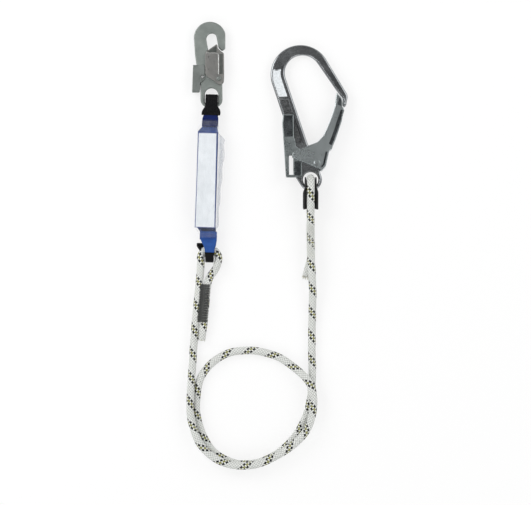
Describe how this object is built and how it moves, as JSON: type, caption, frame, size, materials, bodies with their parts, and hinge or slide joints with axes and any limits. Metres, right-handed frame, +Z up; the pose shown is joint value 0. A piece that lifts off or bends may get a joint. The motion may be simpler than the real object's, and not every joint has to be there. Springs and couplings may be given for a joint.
{
  "type": "shock absorbing lanyard",
  "caption": "Fall-arrest lanyard: gated snap hook, folded tear-webbing absorber in a clear sleeve, braided rope with sewn eyes and a thimble, and a large gated scaffold hook.",
  "frame": {"origin": "middle of the absorber pack's underside, on the surface that the lanyard lies on", "axes": "+Y along the lanyard from the rope towards the hooks, +Z up off the surface, +X from the absorber towards the scaffold hook"},
  "size_m": [0.2419, 0.6705, 0.0366],
  "materials": {
    "zinc": "satin zinc plating",
    "chrome": "dark chrome",
    "rivet": "satin",
    "spring": "drawn wire",
    "webbing": "woven",
    "tear_webbing": "woven",
    "wear_sleeve": "woven tube",
    "film": "clear heat-shrunk film",
    "label": "plain, unprinted",
    "thread": "close sewing",
    "rope": "braided, with dark and olive tracer yarns",
    "thimble": "moulded"
  },
  "bodies": {
    "rope": {"rope": "rope", "left_splice_stitching": "thread", "right_splice_stitching": "thread", "rope_thimble": "thimble"},
    "absorber": {"tear_webbing_pack": "tear_webbing", "upper_strap_loop": "webbing", "upper_wear_sleeve": "wear_sleeve", "upper_bar_tack": "thread", "lower_strap_loop": "webbing", "lower_wear_sleeve": "wear_sleeve", "lower_bar_tack": "thread", "clear_sleeve": "film", "label": "label"},
    "snap_hook": {"snap_hook_body": "zinc", "snap_gate_rivet": "rivet", "snap_gate_spring": "spring", "snap_lever_rivet": "rivet", "snap_lever_spring": "spring"},
    "snap_gate": {"snap_gate": "zinc"},
    "snap_lever": {"snap_lock_lever": "zinc"},
    "scaffold_hook": {"scaffold_hook_body": "chrome", "scaffold_gate_rivet": "rivet", "scaffold_gate_spring": "spring", "scaffold_lever_rivet": "rivet", "scaffold_lever_spring": "spring"},
    "scaffold_gate": {"scaffold_gate": "chrome"},
    "scaffold_lever": {"scaffold_lock_lever": "chrome"}
  },
  "joints": [
    {"name": "absorber_swing", "type": "hinge", "parent": "rope", "child": "absorber", "pos_m": [0.0045, -0.1048, 0.01125], "axis": [0.9996, -0.0297, 0], "range_deg": [0, 45]},
    {"name": "snap_hook_swing", "type": "hinge", "parent": "absorber", "child": "snap_hook", "pos_m": [0.00702, 0.11172, 0.0081], "axis": [1, 0, 0], "range_deg": [0, 90]},
    {"name": "snap_gate_open", "type": "hinge", "parent": "snap_hook", "child": "snap_gate", "pos_m": [0.01802, 0.15172, 0.0081], "axis": [0, 0, 1], "range_deg": [0, 25], "stiffness_Nm_per_rad": 0.4, "springref_deg": -17.19, "deforming": ["snap_gate_spring"]},
    {"name": "snap_lever_press", "type": "hinge", "parent": "snap_hook", "child": "snap_lever", "pos_m": [-0.00648, 0.15447, 0.0081], "axis": [0, 0, 1], "range_deg": [0, 12], "stiffness_Nm_per_rad": 0.5, "springref_deg": -8.59, "deforming": ["snap_lever_spring"]},
    {"name": "scaffold_hook_swing", "type": "hinge", "parent": "rope", "child": "scaffold_hook", "pos_m": [0.1555, 0, 0.0175], "axis": [0, 0.0635, 0.998], "range_deg": [-35, 20]},
    {"name": "scaffold_gate_open", "type": "hinge", "parent": "scaffold_hook", "child": "scaffold_gate", "pos_m": [0.1648, 0.02395, 0.01597], "axis": [0, 0.0635, 0.998], "range_deg": [0, 36], "stiffness_Nm_per_rad": 0.8, "springref_deg": -17.19, "deforming": ["scaffold_gate_spring"]},
    {"name": "scaffold_lever_press", "type": "hinge", "parent": "scaffold_hook", "child": "scaffold_lever", "pos_m": [0.137, 0.03533, 0.01525], "axis": [0, -0.0635, -0.998], "range_deg": [0, 2.5], "stiffness_Nm_per_rad": 1, "springref_deg": -5.73, "deforming": ["scaffold_lever_spring"]}
  ]
}
